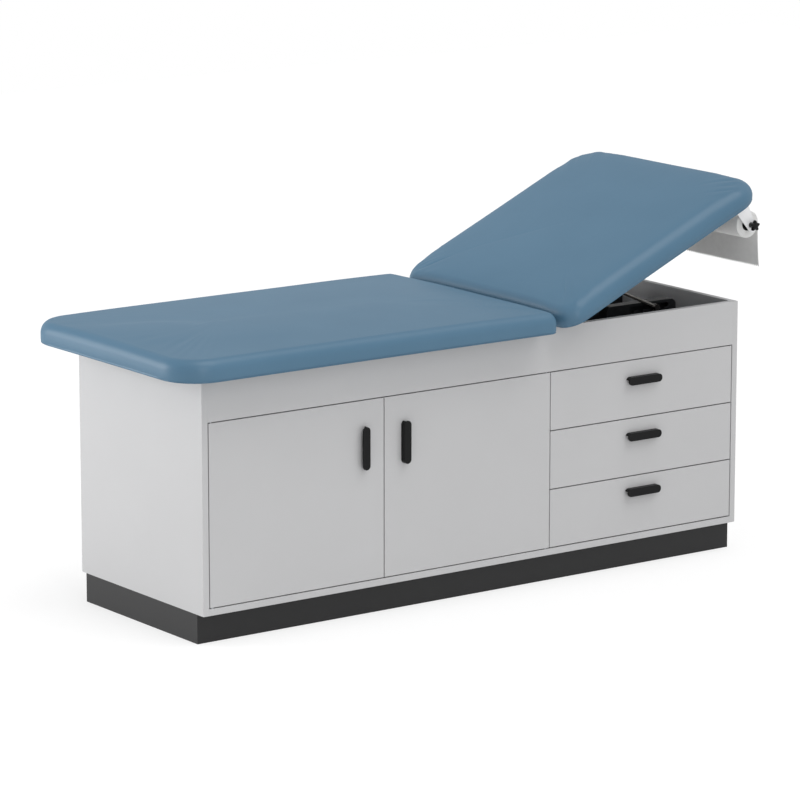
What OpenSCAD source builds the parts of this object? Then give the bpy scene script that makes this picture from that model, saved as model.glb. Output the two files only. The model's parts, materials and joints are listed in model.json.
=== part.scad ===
// Treatment bed. A laminated cabinet with two cupboards and three drawers carries a fixed seat
// cushion and, over an open well, a backrest that tilts and is held by a notched-rail stay.
// Millimetres. +Z is up, +X points to the head end, and the doors and drawers face -Y.
// The origin is the centre of the cabinet's footprint, on the floor.

/* [Cabinet] */
// Length of the cabinet
cabinet_l = 1800; // [1750:5:1900]
// Depth of the cabinet from front to back
cabinet_w = 596; // [570:1:640]
// Height of the cabinet's top edge above the floor
cabinet_h = 716; // [700:1:740]
// Thickness of the laminated boards
board_t = 18; // [16:0.5:20]
// Gap round the doors and the drawer fronts
reveal = 3; // [2:0.5:4]
// Height of the front rail above the doors and drawers
front_rail_h = 122.5; // [118:0.5:130]
// Width of each door
door_w = 555; // [530:0.5:575]
// Height of the shelf above the bottom panel
shelf_rise = 236; // [180:1:300]
// Setback of the shelf behind the doors
shelf_setback = 60; // [30:1:120]

/* [Plinth] */
// Height of the plinth
plinth_h = 79.5; // [70:0.5:90]
// Thickness of the toe boards
toe_board_t = 16; // [12:1:20]
// Recess of the front toe board behind the cabinet's front
toe_recess = 29.5; // [15:0.5:60]
// Recess of the rear toe board behind the cabinet's back
rear_recess = 21; // [5:0.5:60]

/* [Doors and catches] */
// Distance of a door's pivot axis from its hinge edge
pivot_inset = 9; // [8.5:0.1:10]
// Distance of a door's pivot axis behind its front face
pivot_depth = 6; // [5:0.1:6]
// Radius of a door's pivot pins
pivot_r = 3; // [2:0.1:3.2]
// Depth of a pivot pin in the door and in the cabinet
pivot_grip = 12; // [8:0.5:15]
// Length of a magnetic catch
catch_l = 46; // [30:1:60]
// Height of a magnetic catch
catch_h = 12; // [8:0.5:16]

/* [Pulls] */
// Length of a pull
pull_l = 117; // [100:1:140]
// Width of a pull
pull_w = 22.5; // [20:0.5:32]
// Reach of a pull out of the door or drawer
pull_reach = 16; // [13:0.5:24]
// Thickness of a pull's front plate
pull_plate_t = 4; // [3:0.5:6]
// Thickness of a pull's back wall
pull_wall_t = 3; // [2:0.5:5]
// Distance of a door pull's centre from the gap between the doors
door_pull_inset = 67; // [40:1:120]
// Distance of a door pull's top below the front rail
door_pull_drop = 72; // [40:1:150]
// Distance of a drawer pull's centre below the drawer's top edge
drawer_pull_drop = 56; // [30:1:80]
// Rise of each lower drawer's pull towards its drawer's top edge
drawer_pull_rise = 6.5; // [0:0.5:10]

/* [Drawers] */
// Length of a drawer box
drawer_box_l = 480; // [460:5:520]
// Height of a drawer box
drawer_box_h = 110; // [80:1:120]
// Thickness of a drawer box's sides
drawer_side_t = 12; // [10:0.5:15]
// Thickness of a drawer's bottom
drawer_bottom_t = 5; // [4:0.5:6]
// Height of a drawer box above its front's lower edge
drawer_box_rise = 22; // [15:1:30]
// Length of the telescopic runners
runner_l = 450; // [400:5:455]
// Thickness of a closed runner
runner_t = 12.7; // [12:0.1:14]
// Height of a runner's outer member
runner_h = 45; // [38:1:50]
// Gap between a runner's members
runner_gap = 0.4; // [0.3:0.05:0.5]

/* [Cushions] */
// Width of both cushions
cushion_w = 780; // [740:2:820]
// Overhang of the seat cushion past the foot end
seat_overhang = 114; // [60:1:140]
// Thickness of the seat cushion at its edges
seat_t = 64; // [56:1:75]
// Rise of the seat cushion's crown in the middle
seat_crown = 12; // [2:0.5:14]
// Thickness of the backrest cushion at its edges
back_t = 64; // [62:1:75]
// Rise of the backrest cushion's crown in the middle
back_crown = 14; // [2:0.5:16]
// Thickness of the plywood boards inside the cushions
ply_t = 12; // [9:0.5:15]
// Distance of the plywood boards' edges from the cushions' sides
ply_inset = 42; // [38:1:60]

/* [Backrest and stay] */
// Angle of the backrest above the level, as it stands
back_tilt = 24.2; // [10:0.1:40]
// Highest angle that the backrest is made for
back_tilt_max = 40; // [36:1:42]
// Distance of the hinge axis from the cabinet's head end
hinge_from_head = 652; // [640:1:670]
// Depth of the hinge axis below the backrest's board
hinge_drop = 21; // [18:0.5:24]
// Distance from the hinge axis to the backrest's head edge
back_reach = 755; // [740:1:790]
// Distance from the hinge axis to the backrest's foot edge
back_nose = 4; // [2:0.5:8]
// Gap between the two cushions when the backrest is level
cushion_gap = 42; // [40:0.5:50]
// Radius of the hinge pins
hinge_pin_r = 5; // [4:0.1:6]
// Distance of the hinge lugs from the middle of the bed
hinge_y = 225; // [200:1:235]
// Distance from the hinge axis to the stay's pivot, and the stay's own length
stay_l = 262; // [255:1:270]
// Radius of the stay's rods
stay_rod_r = 5; // [4:0.1:7]
// Distance of the stay's rods from the middle of the bed
stay_y = 148; // [145:1:160]
// Radius of the stay's foot studs
stud_r = 6; // [5:0.1:7]
// Angles of the backrest at which the rails are notched
notch_angles = [12, 24.2, 34, 40];

/* [Paper roll] */
// Radius of the paper roll
roll_r = 38.5; // [30:0.5:42]
// Length of the paper roll
roll_l = 576; // [560:2:590]
// Distance of the roll's axis from the backrest's head edge
roll_from_edge = 30; // [25:0.5:45]
// Distance of the roll's axis below the hinge axis' level, square to the backrest
roll_below = 70; // [60:0.5:75]
// Radius of the spindle's hubs
hub_r = 18; // [14:0.5:20]
// Radius of the spindle's journals
journal_r = 5; // [4:0.1:6]
// Diameter of the star knob over its lobes
knob_d = 34; // [28:1:40]
// Length of the paper that hangs from the roll
paper_drop = 125; // [80:1:140]

/* [Hidden] */
$fn = 48;

// Colours
laminate = [0.80, 0.80, 0.80];
black_trim = [0.12, 0.12, 0.13];
plinth_black = [0.22, 0.22, 0.23];
vinyl_blue = [0.42, 0.55, 0.66];
zinc = [0.66, 0.67, 0.69];
plywood = [0.74, 0.62, 0.45];
white_paint = [0.93, 0.93, 0.93];
steel_dark = [0.25, 0.26, 0.27];
paper_white = [0.95, 0.95, 0.94];

// Clearances
seat_gap = 0.3; // between pieces that meet without a fit
run_gap = 0.05; // radial, of a pin in its bore
press_gap = 0.02; // radial, of a pin that is fixed in its hole
past = 1; // how far a cutter runs past a face

// Cabinet planes
foot_x = -cabinet_l / 2;
head_x = cabinet_l / 2;
front_y = -cabinet_w / 2;
rear_y = cabinet_w / 2;
inner_foot_x = foot_x + board_t;
inner_head_x = head_x - board_t;
inner_front_y = front_y + board_t;
inner_rear_y = rear_y - board_t;
floor_top_z = plinth_h + board_t;
deck_z = cabinet_h - front_rail_h;
well_z = deck_z + board_t;
divider_x = inner_foot_x + reveal + door_w + reveal / 2;
partition_x = divider_x + reveal + door_w;
bay_foot_x = partition_x + board_t / 2;

// The uprights stand back by as much as a door's inner corner swings past its own back
door_corner_r = sqrt(pow(pivot_inset, 2) + pow(board_t - pivot_depth, 2));
upright_front_y = front_y + pivot_depth + door_corner_r + seat_gap;

// Drawers
drawer_foot_x = partition_x + reveal / 2;
drawer_head_x = inner_head_x - reveal;
drawer_h = (deck_z - floor_top_z - 4 * reveal) / 3;
function drawer_z(i) = deck_z - (i + 1) * (drawer_h + reveal);
groove_rise = 10;
groove_d = 5;
runner_setback = 3;
runner_front_y = inner_front_y + runner_setback;
outer_web_t = 1.2;
outer_lip_t = 1.5;
middle_web_t = 1.4;
middle_lip_t = 2.3;
inner_web_t = 1.4;
inner_lip_t = 1.6;

// Backrest: built level in its own frame, with the hinge axis as its origin
hinge_x = head_x - hinge_from_head;
hinge_z = cabinet_h + seat_gap - hinge_drop;
hinge_side_clear = 0.5;
lug_t = 8;
lug_r = 11;
bracket_t = 5;
bracket_plate_t = 4;
bracket_r = 13;
seat_head_x = hinge_x - back_nose - cushion_gap;
seat_foot_x = foot_x - seat_overhang;
header_gap = 90; // from the cross board to the hinge axis
header_head_x = hinge_x - header_gap;

// Cushion edges: radius of the plan corners and of the rolled edges
seat_corner_r = 110;
seat_split_corner_r = 30;
edge_reach = 28;
edge_drop = 32;
edge_under_r = 23;
back_corner_r = 94;
nose_corner_r = 66;
back_edge_reach = 34;
back_edge_drop = 42;
back_edge_under_r = 20;
cushion_pull = 2; // how far a cushion's sides draw in between its corners

// Stay and rails
stay_pin_r = 4;
stay_eye_r = 9;
stay_eye_w = 12;
slot_half_h = stud_r + seat_gap;
slot_end_gap = 3;
notch_depth = 7;
rail_t = 4;
rail_depth = 34;
rail_flange_w = 24;
rail_back_t = 2;
rail_y = stay_y - 16; // inner face of the slotted side
rail_back_y = rail_y + rail_t - rail_depth;
rail_top_gap = 6;
rail_corner_r = 18;
function stud_x(tilt) = hinge_x + 2 * stay_l * cos(tilt);
rail_foot_l = 90; // how far a rail runs past the stud at either end of its travel
rail_head_l = 36;
rail_foot_x = stud_x(back_tilt_max) - rail_foot_l;
rail_head_x = stud_x(0) + rail_head_l;
rail_top_z = cabinet_h - rail_top_gap;
collar_r = 10;

// Paper roll
roll_along = back_reach - roll_from_edge;
roll_gap = 12;
roll_bracket_t = 3;
roll_bracket_y = roll_l / 2 + roll_gap;
journal_end_r = 4;
knob_t = 14;
knob_neck_t = 7;
paper_t = 0.8;
paper_flare = 6;

// A board between two corners
module board(low, high) {
    translate(low) cube(high - low);
}

// A rectangle with rounded corners, drawn from squares and circles
module round_rect(x0, x1, y0, y1, r) {
    translate([x0 + r, y0]) square([x1 - x0 - 2 * r, y1 - y0]);
    translate([x0, y0 + r]) square([x1 - x0, y1 - y0 - 2 * r]);
    for (x = [x0 + r, x1 - r], y = [y0 + r, y1 - r]) translate([x, y]) circle(r = r);
}

// Lays an outline drawn in X and Z upright, from y and t thick towards +Y
module upright(y, t) {
    translate([0, y + t, 0]) rotate([90, 0, 0]) linear_extrude(t) children();
}

// A round bar along Y, centred on y
module cross_bar(x, z, r, y, l) {
    translate([x, y + l / 2, z]) rotate([90, 0, 0]) cylinder(r = r, h = l);
}

// A round bar along X
module long_pin(x0, x1, y, z, r) {
    translate([x0, y, z]) rotate([0, 90, 0]) cylinder(r = r, h = x1 - x0);
}

// Places what is built level round the hinge axis at the backrest's angle
module on_backrest() {
    translate([hinge_x, 0, hinge_z]) rotate([0, -back_tilt, 0]) children();
}

// Does the same thing on both sides of the bed
module both_sides() {
    children();
    mirror([0, 1, 0]) children();
}

// Plinth: four boards mitred at the corners, standing on the floor
module toe_board(x0, x1) {
    linear_extrude(plinth_h)
        polygon([[x0, 0], [x1, 0], [x1 - toe_board_t, toe_board_t], [x0 + toe_board_t, toe_board_t]]);
}
toe_front_y = front_y + toe_recess;
toe_rear_y = rear_y - rear_recess;

module toe_board_front() {
    color(plinth_black) translate([0, toe_front_y, 0]) toe_board(foot_x, head_x);
}
module toe_board_rear() {
    color(plinth_black) translate([0, toe_rear_y, 0]) mirror([0, 1, 0]) toe_board(foot_x, head_x);
}
module toe_board_foot_end() {
    color(plinth_black) translate([foot_x, 0, 0]) rotate([0, 0, -90])
        toe_board(-toe_rear_y, -toe_front_y);
}
module toe_board_head_end() {
    color(plinth_black) translate([head_x, 0, 0]) rotate([0, 0, 90])
        toe_board(toe_front_y, toe_rear_y);
}
module cross_bearer() {
    color(plinth_black)
        board([-toe_board_t / 2, toe_front_y + toe_board_t, 0],
              [toe_board_t / 2, toe_rear_y - toe_board_t, plinth_h]);
}

// Pivot axes of the doors
left_pivot_x = inner_foot_x + reveal + pivot_inset;
right_pivot_x = partition_x - reveal / 2 - pivot_inset;
pivot_y = front_y + pivot_depth;

module pivot_hole(x, z0, h, gap) {
    translate([x, pivot_y, z0]) cylinder(r = pivot_r + gap, h = h);
}
module bottom_panel() {
    color(laminate) difference() {
        board([inner_foot_x, front_y, plinth_h], [inner_head_x, inner_rear_y, floor_top_z]);
        for (x = [left_pivot_x, right_pivot_x])
            pivot_hole(x, floor_top_z - pivot_grip, pivot_grip + past, press_gap);
    }
}

// Holes and studs of the shelf supports
support_r = 2.5;
support_grip = 8;
support_reach = 11;
support_head_r = 5;
shelf_z = floor_top_z + shelf_rise;
shelf_front_y = inner_front_y + shelf_setback;
shelf_rear_gap = 8;
shelf_rear_y = inner_rear_y - shelf_rear_gap;
support_inset = 50;
support_y = [shelf_front_y + support_inset, shelf_rear_y - support_inset];
support_z = shelf_z - support_head_r;

module support_holes(x0, x1) {
    for (y = support_y) long_pin(x0, x1, y, support_z, support_r + press_gap);
}
module foot_end_panel() {
    color(laminate) difference() {
        board([foot_x, front_y, plinth_h], [inner_foot_x, rear_y, cabinet_h]);
        support_holes(inner_foot_x - support_grip, inner_foot_x + past);
    }
}
module head_end_panel() {
    color(laminate) board([inner_head_x, front_y, plinth_h], [head_x, rear_y, cabinet_h]);
}
module upright_panel(x) {
    board([x - board_t / 2, upright_front_y, floor_top_z], [x + board_t / 2, inner_rear_y, deck_z]);
}
module centre_divider() {
    color(laminate) difference() {
        upright_panel(divider_x);
        support_holes(divider_x - board_t / 2 - past, divider_x - board_t / 2 + support_grip);
        support_holes(divider_x + board_t / 2 - support_grip, divider_x + board_t / 2 + past);
    }
}
module drawer_partition() {
    color(laminate) difference() {
        upright_panel(partition_x);
        support_holes(partition_x - board_t / 2 - past, partition_x - board_t / 2 + support_grip);
    }
}

module back_panel() {
    color(laminate)
        board([inner_foot_x, inner_rear_y, plinth_h], [inner_head_x, rear_y, cabinet_h]);
}
module front_rail() {
    color(laminate) difference() {
        board([inner_foot_x, front_y, deck_z], [inner_head_x, inner_front_y, cabinet_h]);
        for (x = [left_pivot_x, right_pivot_x])
            pivot_hole(x, deck_z - past, pivot_grip + past, press_gap);
    }
}
module well_deck() {
    color(laminate) board([inner_foot_x, inner_front_y, deck_z], [inner_head_x, inner_rear_y, well_z]);
}
module top_panel() {
    color(laminate)
        board([inner_foot_x, inner_front_y, cabinet_h - board_t], [header_head_x, inner_rear_y, cabinet_h]);
}
module well_header() {
    color(laminate)
        board([header_head_x - board_t, inner_front_y, well_z],
              [header_head_x, inner_rear_y, cabinet_h - board_t]);
}

// Shelves on four supports each
module shelf(x0, x1) {
    board([x0 + reveal / 2, shelf_front_y, shelf_z], [x1 - reveal / 2, shelf_rear_y, shelf_z + board_t]);
}
module left_shelf() {
    color(laminate) shelf(inner_foot_x, divider_x - board_t / 2);
}
module right_shelf() {
    color(laminate) shelf(divider_x + board_t / 2, partition_x - board_t / 2);
}
module shelf_support(x, side) {
    for (y = support_y) {
        long_pin(min(x, x - side * support_grip), max(x, x - side * support_grip), y, support_z, support_r);
        long_pin(min(x, x + side * support_reach), max(x, x + side * support_reach), y, support_z,
                 support_head_r);
    }
}
module shelf_supports() {
    color(zinc) {
        shelf_support(inner_foot_x, 1);
        shelf_support(divider_x - board_t / 2, -1);
        shelf_support(divider_x + board_t / 2, 1);
        shelf_support(partition_x - board_t / 2, -1);
    }
}
module door_catches() {
    catch_y = inner_front_y + seat_gap;
    catch_gap = 12;
    catch_depth = 16;
    color(black_trim)
        for (x = [divider_x - board_t / 2 - catch_gap - catch_l, divider_x + board_t / 2 + catch_gap])
            board([x, catch_y, deck_z - catch_h], [x + catch_l, catch_y + catch_depth, deck_z]);
}

// Pivot pins: fixed in the cabinet, and the lower ones carry the door on a collar
module door_pivot_pins() {
    door_foot_z = floor_top_z + reveal;
    collar_h = reveal - seat_gap;
    pivot_collar_r = pivot_r + 2;
    color(zinc) for (x = [left_pivot_x, right_pivot_x]) {
        translate([x, pivot_y, floor_top_z - pivot_grip + seat_gap]) {
            cylinder(r = pivot_r, h = 2 * pivot_grip + reveal - 2 * seat_gap);
            translate([0, 0, pivot_grip - seat_gap]) cylinder(r = pivot_collar_r, h = collar_h);
        }
        translate([x, pivot_y, deck_z - reveal - pivot_grip + seat_gap])
            cylinder(r = pivot_r, h = 2 * pivot_grip + reveal - 2 * seat_gap);
    }
}
module door(x0, pivot_x) {
    foot_z = floor_top_z + reveal;
    top_z = deck_z - reveal;
    difference() {
        board([x0, front_y, foot_z], [x0 + door_w, inner_front_y, top_z]);
        pivot_hole(pivot_x, foot_z - past, pivot_grip + past, run_gap);
        pivot_hole(pivot_x, top_z - pivot_grip, pivot_grip + past, run_gap);
    }
}
module left_door() {
    color(laminate) door(inner_foot_x + reveal, left_pivot_x);
}
module right_door() {
    color(laminate) door(divider_x + reveal / 2, right_pivot_x);
}

// Pull: a front plate with a wall along its upper edge and a post at each end
module stadium(l, w) {
    translate([-(l - w) / 2, -w / 2]) square([l - w, w]);
    for (x = [-1, 1] * (l - w) / 2) translate([x, 0]) circle(r = w / 2);
}
module pull() {
    post_r = 4.5;
    post_x = (pull_l - pull_w) / 2;
    wall_end = 4;
    upright(-pull_reach, pull_plate_t) stadium(pull_l, pull_w);
    upright(-pull_reach + pull_plate_t, pull_reach - pull_plate_t) {
        difference() {
            stadium(pull_l, pull_w);
            stadium(pull_l - 2 * pull_wall_t, pull_w - 2 * pull_wall_t);
            translate([-pull_l, -pull_w]) square([2 * pull_l, pull_w + wall_end]);
        }
        for (x = [-post_x, post_x]) translate([x, post_r]) circle(r = post_r);
    }
}
module door_pull(x, side) {
    color(black_trim)
        translate([x, front_y, deck_z - door_pull_drop - pull_l / 2]) rotate([0, 90 * side, 0]) pull();
}
module left_door_pull() {
    door_pull(divider_x - door_pull_inset, 1);
}
module right_door_pull() {
    door_pull(divider_x + door_pull_inset, -1);
}

// Drawers: a front, a box with a grooved-in bottom, a pull and a pair of telescopic runners
box_foot_x = bay_foot_x + runner_t;
box_head_x = inner_head_x - runner_t;
function box_z(i) = drawer_z(i) + drawer_box_rise;
function runner_z(i) = box_z(i) + drawer_box_h / 2;

module drawer_front(i) {
    color(laminate)
        board([drawer_foot_x, front_y, drawer_z(i)], [drawer_head_x, inner_front_y, drawer_z(i) + drawer_h]);
}
module drawer_box(i) {
    rear = inner_front_y + drawer_box_l;
    low = [box_foot_x + drawer_side_t, inner_front_y + drawer_side_t, box_z(i)];
    high = [box_head_x - drawer_side_t, rear - drawer_side_t, box_z(i) + drawer_box_h];
    groove = [groove_d, groove_d, 0];
    groove_z = box_z(i) + groove_rise;
    color(plywood) difference() {
        board([box_foot_x, inner_front_y, box_z(i)], [box_head_x, rear, box_z(i) + drawer_box_h]);
        board(low - [0, 0, past], high + [0, 0, past]);
        board([low.x - groove_d, low.y - groove_d, groove_z],
              [high.x + groove_d, high.y + groove_d, groove_z + drawer_bottom_t]);
    }
}
module drawer_bottom(i) {
    side = drawer_side_t - groove_d + seat_gap;
    low_z = box_z(i) + groove_rise;
    color(plywood)
        board([box_foot_x + side, inner_front_y + side, low_z],
              [box_head_x - side, inner_front_y + drawer_box_l - side, low_z + drawer_bottom_t]);
}
module drawer_pull(i) {
    pull_x = (drawer_foot_x + drawer_head_x) / 2;
    pull_z = drawer_z(i) + drawer_h - drawer_pull_drop + i * drawer_pull_rise;
    color(black_trim) translate([pull_x, front_y, pull_z]) pull();
}

// A channel lying along the drawer: its web is at x0, its lips reach to x1
module channel(x0, x1, h, web_t, lip_t) {
    lip_x = min(x0, x1);
    web_x = x1 > x0 ? x0 : x0 - web_t;
    translate([web_x, -h / 2]) square([web_t, h]);
    for (z = [-h / 2, h / 2 - lip_t]) translate([lip_x, z]) square([abs(x1 - x0), lip_t]);
}
module runner_pair(i) {
    middle = (bay_foot_x + inner_head_x) / 2;
    color(zinc) for (side = [0, 1])
        translate([middle, runner_front_y, runner_z(i)]) mirror([side, 0, 0])
            translate([bay_foot_x - middle, 0, 0]) upright(0, runner_l) children();
}
middle_h = runner_h - 2 * outer_lip_t - 2 * runner_gap;
inner_h = middle_h - 2 * middle_lip_t - 2 * runner_gap;
middle_web_x = outer_web_t + runner_gap;
inner_lip_x = middle_web_x + middle_web_t + runner_gap;
middle_lip_x = runner_t - inner_web_t - runner_gap;
outer_lip_x = middle_lip_x - 2;

module outer_runners() {
    for (i = [0:2]) runner_pair(i) channel(0, outer_lip_x, runner_h, outer_web_t, outer_lip_t);
}
module middle_runners(i) {
    runner_pair(i) channel(middle_web_x, middle_lip_x, middle_h, middle_web_t, middle_lip_t);
}
module inner_runners(i) {
    runner_pair(i) channel(runner_t, inner_lip_x, inner_h, inner_web_t, inner_lip_t);
}

// Cushion form: rings of points from the underside over the rolled edge to the crown.
// Each point of the outline is [x, y, outward x, outward y].
corner_steps = 8;
side_steps = 7;
function corner(cx, cy, r, a0) = [
    for (k = [0:corner_steps]) let (a = a0 + 90 * k / corner_steps)
        [cx + r * cos(a), cy + r * sin(a), cos(a), sin(a)]
];
function side(p, q) = [
    for (k = [1:side_steps - 1]) let (t = k / side_steps, pull = cushion_pull * sin(180 * t))
        [p.x + (q.x - p.x) * t - pull * p[2], p.y + (q.y - p.y) * t - pull * p[3], p[2], p[3]]
];
function last(list) = list[len(list) - 1];
function cushion_outline(x0, x1, w, foot_r, head_r) = let (
    a = corner(x1 - head_r, w / 2 - head_r, head_r, 0),
    b = corner(x0 + foot_r, w / 2 - foot_r, foot_r, 90),
    c = corner(x0 + foot_r, foot_r - w / 2, foot_r, 180),
    d = corner(x1 - head_r, head_r - w / 2, head_r, 270)
) concat(a, side(last(a), b[0]), b, side(last(b), c[0]), c, side(last(c), d[0]), d, side(last(d), a[0]));

// The edge's sizes are [underside radius, reach of the top roll, drop of the top roll]
function under_ring(outline, edge, a) = [
    for (p = outline) let (s = edge[0] * (1 - sin(a)))
        [p.x - s * p[2], p.y - s * p[3], edge[0] * (1 - cos(a))]
];
function top_ring(outline, edge, t, a) = [
    for (p = outline) let (s = edge[1] * (1 - cos(a)))
        [p.x - s * p[2], p.y - s * p[3], t - edge[2] + edge[2] * sin(a)]
];
function crown_ring(outline, edge, t, x0, x1, w, rise, k) = [
    for (p = outline) let (
        q = [p.x - edge[1] * p[2], p.y - edge[1] * p[3]],
        spine_x = min(max(q.x, x0 + w / 2), x1 - w / 2),
        fall = pow(1 - k, 2)
    ) [q.x + (spine_x - q.x) * k, q.y * (1 - k), t + rise * (1 - fall)]
];
under_steps = [0, 30, 60, 90];
top_steps = [0, 18, 36, 54, 72, 90];
crown_steps = [0.12, 0.3, 0.55, 0.8];
module cushion_form(x0, x1, w, t, foot_r, head_r, edge, rise) {
    outline = cushion_outline(x0, x1, w, foot_r, head_r);
    rings = concat(
        [for (a = under_steps) under_ring(outline, edge, a)],
        [for (a = top_steps) top_ring(outline, edge, t, a)],
        [for (k = crown_steps) crown_ring(outline, edge, t, x0, x1, w, rise, k)]
    );
    n = len(outline);
    top = len(rings) - 1;
    points = [for (ring = rings) each ring];
    skin = [
        for (r = [0:top - 1], i = [0:n - 1]) let (j = (i + 1) % n)
            each [[r * n + i, (r + 1) * n + i, (r + 1) * n + j], [r * n + i, (r + 1) * n + j, r * n + j]]
    ];
    under = [[for (i = [0:n - 1]) i]];
    cap = [[for (i = [n - 1:-1:0]) top * n + i]];
    polyhedron(points = points, faces = concat(under, skin, cap), convexity = 4);
}

// Pocket in a cushion's underside for its plywood board
module ply_outline(x0, x1, w, r, grow) {
    round_rect(x0 + ply_inset - grow, x1 - ply_inset + grow,
               -w / 2 + ply_inset - grow, w / 2 - ply_inset + grow, r);
}
seat_edges = [edge_under_r, edge_reach, edge_drop];
back_edges = [back_edge_under_r, back_edge_reach, back_edge_drop];
seat_ply_corner_r = 60;
back_ply_corner_r = 100;
ply_gap = 0.2;

module seat_board() {
    color(plywood) translate([0, 0, cabinet_h]) linear_extrude(ply_t)
        ply_outline(seat_foot_x, seat_head_x, cushion_w, seat_ply_corner_r, 0);
}
module seat_cushion() {
    color(vinyl_blue) translate([0, 0, cabinet_h]) difference() {
        cushion_form(seat_foot_x, seat_head_x, cushion_w, seat_t, seat_corner_r, seat_split_corner_r,
                     seat_edges, seat_crown);
        translate([0, 0, -past]) linear_extrude(ply_t + ply_gap + past)
            ply_outline(seat_foot_x, seat_head_x, cushion_w, seat_ply_corner_r, ply_gap);
    }
}
module backrest_board() {
    color(plywood) on_backrest() translate([0, 0, hinge_drop]) linear_extrude(ply_t)
        ply_outline(-back_nose, back_reach, cushion_w, back_ply_corner_r, 0);
}
module backrest_cushion() {
    color(vinyl_blue) on_backrest() translate([0, 0, hinge_drop]) difference() {
        cushion_form(-back_nose, back_reach, cushion_w, back_t, nose_corner_r, back_corner_r,
                     back_edges, back_crown);
        translate([0, 0, -past]) linear_extrude(ply_t + ply_gap + past)
            ply_outline(-back_nose, back_reach, cushion_w, back_ply_corner_r, ply_gap);
    }
}

// Hinge lugs: an upright foot bolted to the cross board, and an ear that carries the bore
lug_foot_t = 5;
lug_foot_w = 46;
lug_foot_rise = 10;
lug_foot_drop = 22;
lug_foot_low_z = well_z + lug_foot_rise;
lug_foot_high_z = hinge_z - lug_foot_drop;
module hinge_lug() {
    ear_x = header_head_x + lug_foot_t;
    ear_toe_w = 10;
    ear_top_l = 49;
    color(steel_dark) difference() {
        union() {
            board([header_head_x, hinge_y - lug_foot_w / 2, lug_foot_low_z],
                  [ear_x, hinge_y + lug_foot_w / 2, lug_foot_high_z]);
            upright(hinge_y - lug_t / 2, lug_t) {
                polygon([
                    [ear_x - lug_foot_t / 2, lug_foot_low_z], [ear_x + ear_toe_w, lug_foot_low_z],
                    [hinge_x + lug_r * cos(40), hinge_z - lug_r * sin(40)],
                    [hinge_x - lug_r * sin(25), hinge_z + lug_r * cos(25)],
                    [hinge_x - ear_top_l, lug_foot_high_z], [ear_x - lug_foot_t / 2, lug_foot_high_z]
                ]);
                translate([hinge_x, hinge_z]) circle(r = lug_r);
            }
        }
        cross_bar(hinge_x, hinge_z, hinge_pin_r + run_gap, hinge_y, lug_t + 2 * past);
    }
}
module hinge_lugs() {
    both_sides() hinge_lug();
}

// A bracket under the backrest's board: a plate and two ears on either side of y
module ear_bracket(x0, x1, eye_x, y, inner_w, ear_t, eye_r, hole_r) {
    outer_w = inner_w + 2 * ear_t;
    flange_w = 9;
    toe_w = 8;
    difference() {
        union() {
            board([x0, y - outer_w / 2 - flange_w, hinge_drop - bracket_plate_t],
                  [x1, y + outer_w / 2 + flange_w, hinge_drop]);
            for (side = [-1, 1])
                upright(y + side * (inner_w + ear_t) / 2 - ear_t / 2, ear_t) {
                    polygon([
                        [eye_x - eye_r, 0], [eye_x + eye_r * sin(35), -eye_r * cos(35)],
                        [x1 - toe_w, hinge_drop - bracket_plate_t / 2],
                        [eye_x - eye_r, hinge_drop - bracket_plate_t / 2]
                    ]);
                    translate([eye_x, 0]) circle(r = eye_r);
                }
        }
        cross_bar(eye_x, 0, hole_r, y, outer_w + 2 * past);
    }
}
hinge_bracket_foot_l = 10;
hinge_bracket_head_l = 90;
module hinge_brackets() {
    color(steel_dark) on_backrest() both_sides()
        ear_bracket(-hinge_bracket_foot_l, hinge_bracket_head_l, 0, hinge_y, lug_t + 2 * hinge_side_clear,
                    bracket_t, bracket_r, hinge_pin_r + press_gap);
}
stay_bracket_foot_l = 22;
stay_bracket_head_l = 42;
stay_bracket_r = stay_eye_r + 1;
module stay_brackets() {
    color(steel_dark) on_backrest() both_sides()
        ear_bracket(stay_l - stay_bracket_foot_l, stay_l + stay_bracket_head_l, stay_l, stay_y,
                    stay_eye_w + 2 * hinge_side_clear, bracket_plate_t, stay_bracket_r,
                    stay_pin_r + press_gap);
}
module headed_pin(x, y, r, grip) {
    head_t = 2.5;
    head_r = r + 3;
    cross_bar(x, 0, r, y, grip + head_t);
    for (side = [-1, 1]) cross_bar(x, 0, head_r, y + side * (grip + head_t) / 2, head_t);
}
module pivot_pins() {
    color(zinc) on_backrest() both_sides() {
        headed_pin(0, hinge_y, hinge_pin_r, lug_t + 2 * hinge_side_clear + 2 * bracket_t);
        headed_pin(stay_l, stay_y, stay_pin_r, stay_eye_w + 2 * hinge_side_clear + 2 * bracket_plate_t);
    }
}

// Stay: two rods joined by a tie bar, each with an eye at its head end and a stud at its foot
// end. The studs point inwards and run in the rails.
module stay_frame() {
    eye_x = hinge_x + stay_l * cos(back_tilt);
    eye_z = hinge_z + stay_l * sin(back_tilt);
    tie_along = 30;
    tie_r = 4.5;
    boss_r = stud_r + 3;
    boss_in_y = stay_y - stay_eye_w / 2;
    collar_in_y = rail_y + rail_t + seat_gap;
    stud_reach = 8;
    stud_in_y = rail_y - stud_reach;
    color(steel_dark) translate([eye_x, 0, eye_z]) rotate([0, back_tilt, 0]) difference() {
        union() {
            both_sides() {
                long_pin(0, stay_l, stay_y, 0, stay_rod_r);
                cross_bar(0, 0, stay_eye_r, stay_y, stay_eye_w);
                cross_bar(stay_l, 0, boss_r, stay_y, stay_eye_w);
                cross_bar(stay_l, 0, stud_r, (stud_in_y + stay_y) / 2, stay_y - stud_in_y);
                cross_bar(stay_l, 0, collar_r, (collar_in_y + boss_in_y) / 2, boss_in_y - collar_in_y);
            }
            cross_bar(tie_along, 0, tie_r, 0, 2 * stay_y);
        }
        both_sides() cross_bar(0, 0, stay_pin_r + run_gap, stay_y, stay_eye_w + 2 * past);
    }
}

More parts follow.
